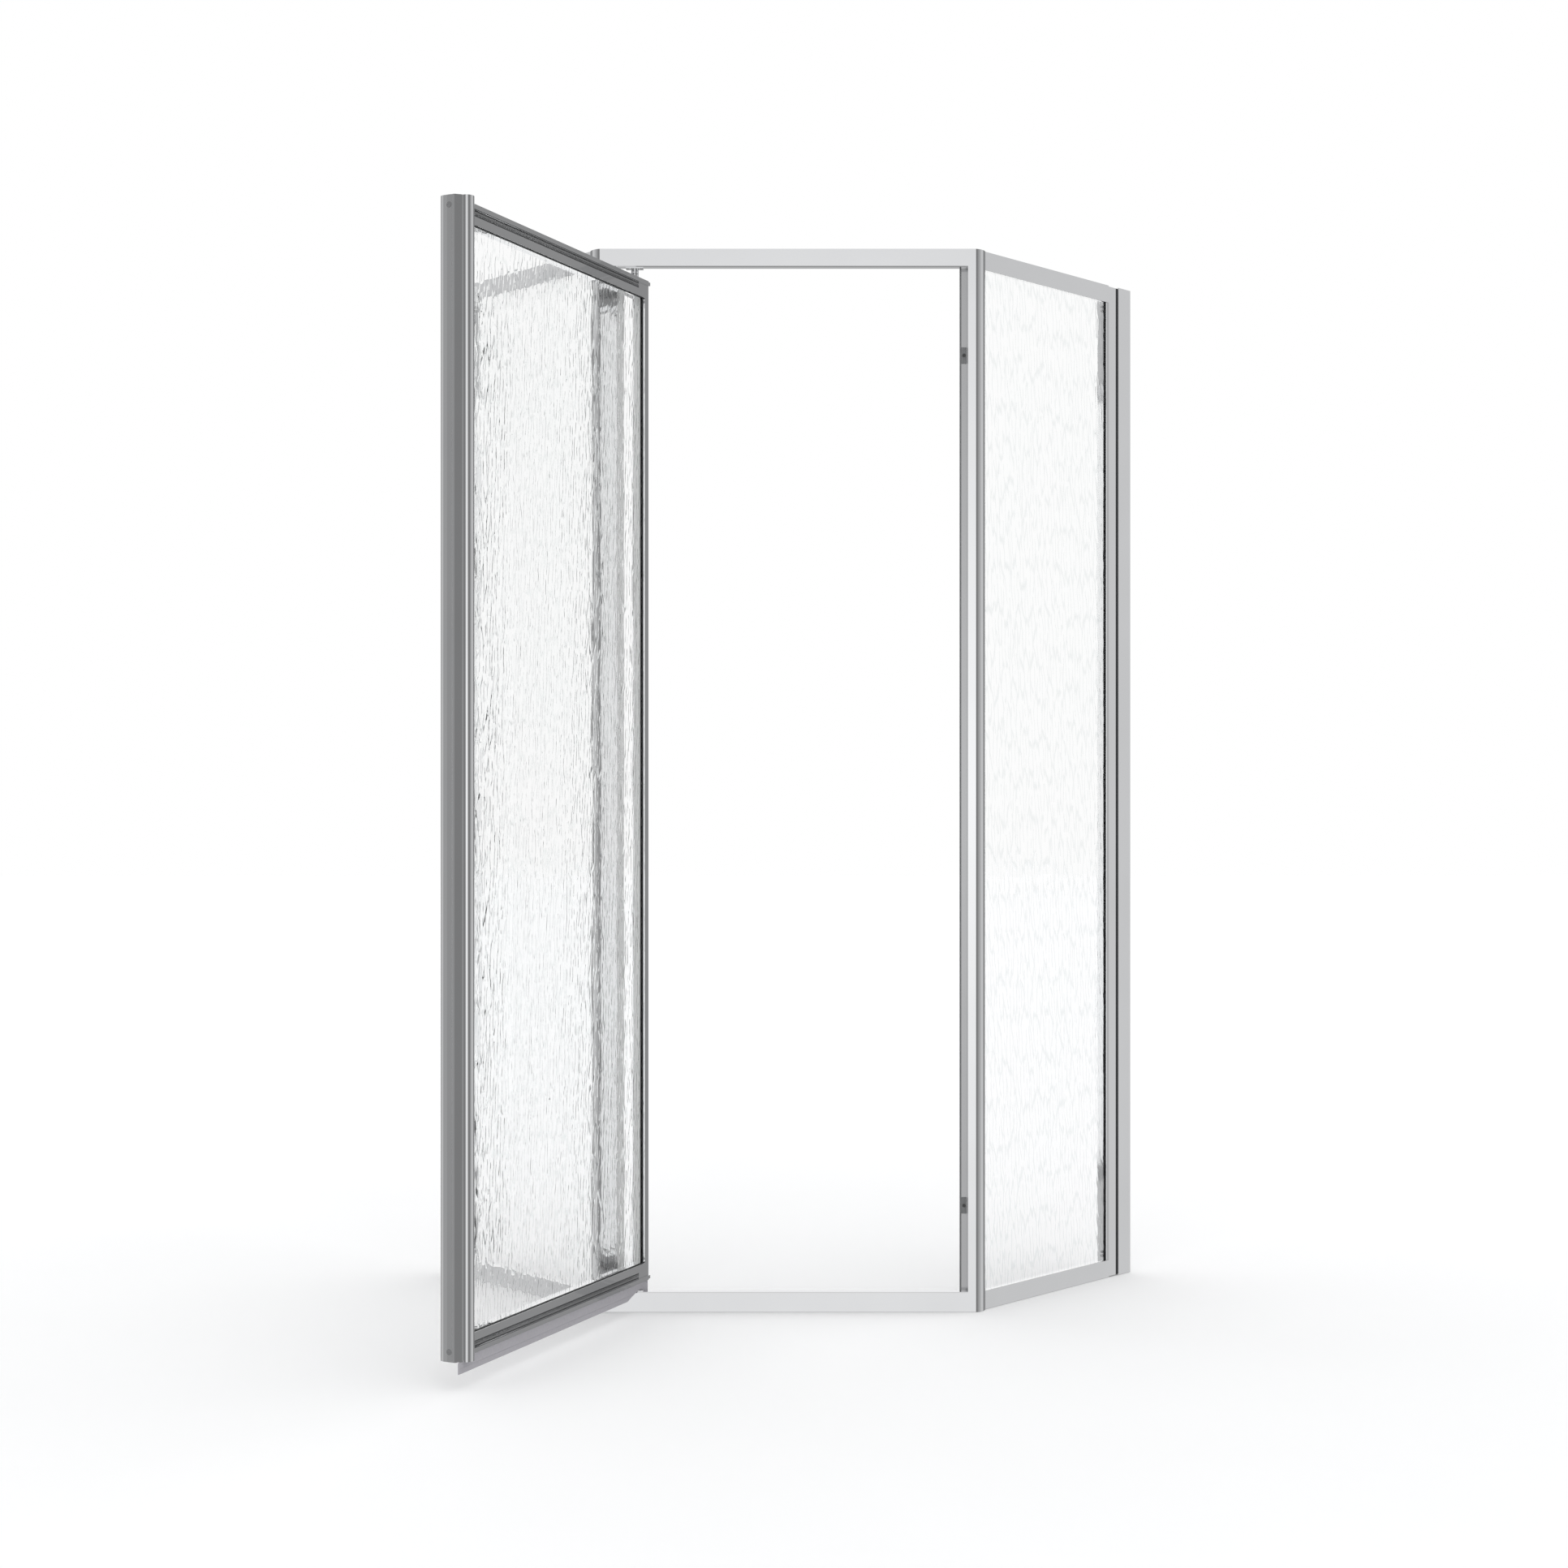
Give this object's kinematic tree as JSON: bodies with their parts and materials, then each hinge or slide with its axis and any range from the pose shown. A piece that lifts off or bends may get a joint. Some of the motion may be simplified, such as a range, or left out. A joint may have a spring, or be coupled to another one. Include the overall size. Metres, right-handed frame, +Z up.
{
  "type": "neo-angle shower door",
  "caption": "Framed neo-angle shower front: an out-swinging pivot door with a full-height pull between fixed return panels of rain-patterned glass",
  "frame": {"origin": "Middle of the underside of the front sill, on the vertical plane through the pivot axis", "axes": "+Z up, +X to the right seen from the front, -Y out of the shower toward the room, +Y into the shower"},
  "size_m": [1.2782, 0.8365, 1.8288],
  "materials": {
    "polished_aluminium": "bright polished, anodised silver",
    "patterned_glass": "clear tempered glass with a vertical rain pattern",
    "dark_vinyl": "dark grey flexible vinyl",
    "clear_vinyl": "translucent grey vinyl",
    "magnet_strip": "grey vinyl-covered magnet strip",
    "dark_plastic": "matte dark grey acetal",
    "screw_steel": "stainless steel"
  },
  "bodies": {
    "frame": {"front_header": "polished_aluminium", "front_sill": "polished_aluminium", "hinge_post": "polished_aluminium", "strike_post": "polished_aluminium", "hinge_jamb": "polished_aluminium", "strike_jamb": "polished_aluminium", "hinge_seal": "clear_vinyl", "strike_magnet": "magnet_strip", "strike_clips": "dark_plastic", "strike_clip_screws": "screw_steel", "left_header": "polished_aluminium", "right_header": "polished_aluminium", "left_sill": "polished_aluminium", "right_sill": "polished_aluminium", "left_wall_stile": "polished_aluminium", "right_wall_stile": "polished_aluminium", "left_jamb_gasket": "dark_vinyl", "right_jamb_gasket": "dark_vinyl", "left_wall_jamb": "polished_aluminium", "right_wall_jamb": "polished_aluminium", "left_glass": "patterned_glass", "right_glass": "patterned_glass", "left_glazing": "dark_vinyl", "right_glazing": "dark_vinyl", "left_setting_blocks": "dark_vinyl", "right_setting_blocks": "dark_vinyl", "top_pivot_bracket": "polished_aluminium", "bottom_pivot_bracket": "polished_aluminium", "top_pivot_pin": "screw_steel", "bottom_pivot_pin": "screw_steel", "bottom_thrust_washer": "dark_plastic", "pivot_bracket_screws": "screw_steel", "frame_screws": "screw_steel", "stile_corner_screws": "screw_steel", "stile_fixing_screws": "screw_steel"},
    "door": {"door_top_rail": "polished_aluminium", "door_bottom_rail": "polished_aluminium", "door_hinge_stile": "polished_aluminium", "door_latch_stile": "polished_aluminium", "door_glass": "patterned_glass", "door_glazing": "dark_vinyl", "door_setting_blocks": "dark_vinyl", "latch_stile_screws": "screw_steel", "hinge_stile_screws": "screw_steel", "top_pivot_block": "polished_aluminium", "bottom_pivot_block": "polished_aluminium", "top_bushing": "dark_plastic", "bottom_bushing": "dark_plastic", "pivot_block_screws": "screw_steel", "door_sweep": "clear_vinyl", "door_magnet": "magnet_strip"}
  },
  "joints": [
    {"name": "door_pivot", "type": "hinge", "parent": "frame", "child": "door", "pos_m": [-0.264, 0, 0.9144], "axis": [0, 0, -1], "range_deg": [-115, 10], "deforming": ["door_sweep", "hinge_seal"]}
  ]
}
